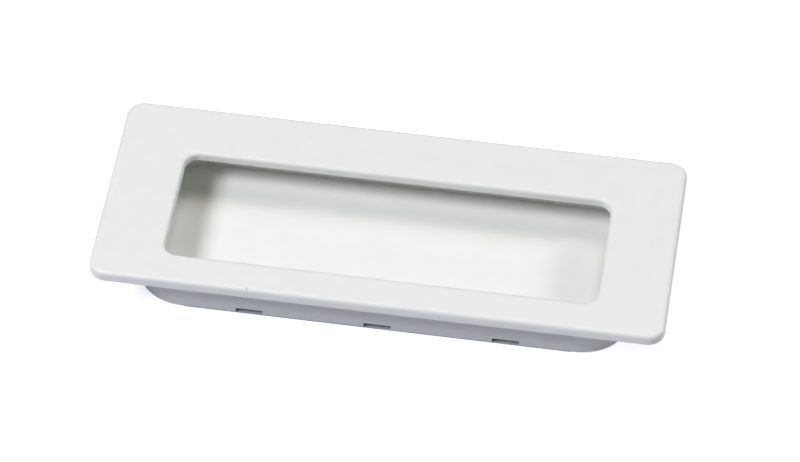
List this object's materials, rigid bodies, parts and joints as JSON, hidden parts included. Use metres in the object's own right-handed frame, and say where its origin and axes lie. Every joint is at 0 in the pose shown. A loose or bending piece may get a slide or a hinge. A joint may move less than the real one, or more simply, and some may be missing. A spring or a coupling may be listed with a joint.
{
  "type": "pocket door pull",
  "caption": "Rectangular white flush pull for a sliding or pocket door: a flat flange round an offset finger opening whose wide band overhangs a closed recess as a grip lip.",
  "frame": {"origin": "centre of the plane of the skirt's rear rim, on which the pull lies when it is put down on its back", "axes": "+X along the pull, +Y towards the wide grip band, +Z out of the door through the flange's face"},
  "size_m": [0.1, 0.04, 0.0115],
  "materials": {
    "frame_white": "satin white moulded plastic",
    "plate_white": "satin white moulded plastic"
  },
  "bodies": {
    "root": {"face_frame": "frame_white", "back_plate": "plate_white"}
  },
  "joints": []
}
